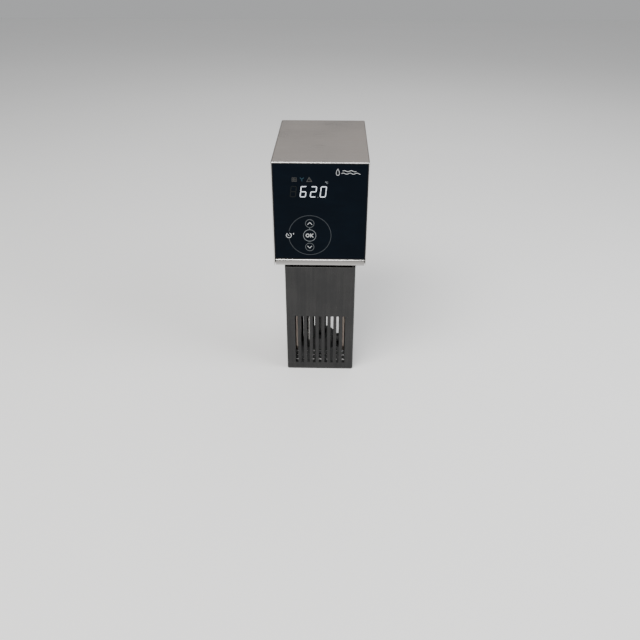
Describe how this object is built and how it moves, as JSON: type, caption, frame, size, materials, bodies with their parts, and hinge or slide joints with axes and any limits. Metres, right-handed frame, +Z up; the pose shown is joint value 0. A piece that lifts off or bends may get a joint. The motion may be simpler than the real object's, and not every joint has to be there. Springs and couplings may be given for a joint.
{
  "type": "sous vide circulator",
  "caption": "Clamp-on immersion circulator: boxed steel head with a black touch glass, slotted steel guard round pump, heaters and probes, and a screw clamp for the pot's rim.",
  "frame": {"origin": "middle of the clamp's fixed jaw, on the rubber face that bears on the inside of the pot's wall", "axes": "+Z up, display faces -Y, +Y out of the fixed jaw towards the clamp's knob and the rear of the head, X across the head"},
  "size_m": [0.1352, 0.213, 0.336],
  "materials": {
    "brushed_steel": "brushed stainless sheet",
    "steel_wet": "smooth rolled stainless sheet",
    "zinc": "zinc plated",
    "black_glass": "black glass with white print",
    "bezel_black": "matt black",
    "board_green": "solder mask",
    "display_black": "LED block",
    "motor_steel": "lamination steel",
    "motor_paint": "dark painted can",
    "copper_core": "laminations and windings",
    "shaft_steel": "ground stainless",
    "bearing_steel": "bearing steel",
    "nylon_white": "moulded nylon",
    "wet_plastic": "glass filled black plastic",
    "ptfe": "PTFE",
    "silicone": "silicone",
    "rubber_black": "black rubber",
    "heater_tube": "heat tinted stainless tube",
    "brass": "turned brass",
    "knob_black": "moulded black",
    "aluminium": "extruded",
    "switch_black": "moulded black",
    "rocker_red": "moulded red",
    "can_blue": "sleeved cans",
    "relay_case": "relay cases"
  },
  "bodies": {
    "housing": {"hood": "brushed_steel", "base_pan": "brushed_steel", "rear_panel": "brushed_steel", "casing_screws": "zinc", "front_bezel": "bezel_black", "front_glass": "black_glass", "panel_carrier": "bezel_black", "display_module": "display_black", "touch_board": "board_green", "touch_springs": "zinc", "control_board": "board_green", "board_standoffs": "brass", "motor_posts": "zinc", "motor_case": "motor_paint", "motor_bearings": "bearing_steel", "stator": "copper_core", "shaft_seal": "rubber_black", "flange_gasket": "silicone", "wet_flange": "wet_plastic", "pump_tube": "steel_wet", "lower_bush": "ptfe", "pump_housing": "wet_plastic", "outlet_spout": "wet_plastic", "intake_cover": "wet_plastic", "heater_hairpins": "heater_tube", "heater_nuts": "brass", "temperature_probe": "shaft_steel", "dry_run_probe": "shaft_steel", "float_stem": "shaft_steel", "float_clip": "shaft_steel", "guard_shell": "steel_wet", "guard_base": "wet_plastic", "guard_hangers": "steel_wet", "guard_screws": "zinc", "clamp_bracket": "brushed_steel", "bracket_screws": "zinc", "jaw_pad": "rubber_black", "threaded_bush": "brass", "mains_inlet": "switch_black", "inlet_pins": "brass", "switch_body": "switch_black", "breaker_body": "switch_black", "power_board": "board_green", "power_standoffs": "brass", "heat_sink": "aluminium", "transformer": "copper_core", "relays": "relay_case", "capacitors": "can_blue"},
    "pump_rotor": {"rotor_core": "motor_steel", "pump_shaft": "shaft_steel", "cooling_fan": "nylon_white", "impeller": "wet_plastic"},
    "clamp_shoe": {"pressure_pad": "rubber_black", "pad_cup": "shaft_steel"},
    "clamp_screw": {"clamp_spindle": "shaft_steel", "clamp_knob": "knob_black", "knob_cap": "aluminium"},
    "rocker": {"power_rocker": "rocker_red"},
    "breaker_key": {"breaker_button": "nylon_white"},
    "float": {"level_float": "nylon_white"}
  },
  "joints": [
    {"name": "pump_spin", "type": "hinge", "parent": "housing", "child": "pump_rotor", "pos_m": [0, -0.07, 0.05], "axis": [0, 0, 1], "continuous": true},
    {"name": "clamp_feed", "type": "slide", "parent": "housing", "child": "clamp_shoe", "axis": [0, 1, 0], "range_m": [-0.014, 0.01]},
    {"name": "clamp_turn", "type": "hinge", "parent": "clamp_shoe", "child": "clamp_screw", "pos_m": [0, 0.05, 0], "axis": [0, 1, 0], "range_deg": [-2520, 1800]},
    {"name": "rocker_tip", "type": "hinge", "parent": "housing", "child": "rocker", "pos_m": [0.03, 0.0935, 0.072], "axis": [1, 0, 0], "range_deg": [0, 14]},
    {"name": "breaker_press", "type": "slide", "parent": "housing", "child": "breaker_key", "axis": [0, -1, 0], "range_m": [0, 0.003], "stiffness_N_per_m": 300},
    {"name": "float_rise", "type": "slide", "parent": "housing", "child": "float", "axis": [0, 0, 1], "range_m": [0, 0.012]}
  ],
  "couplings": [
    {"joint": "clamp_feed", "follows": "clamp_turn", "m_per_rad": 0.0003183}
  ]
}
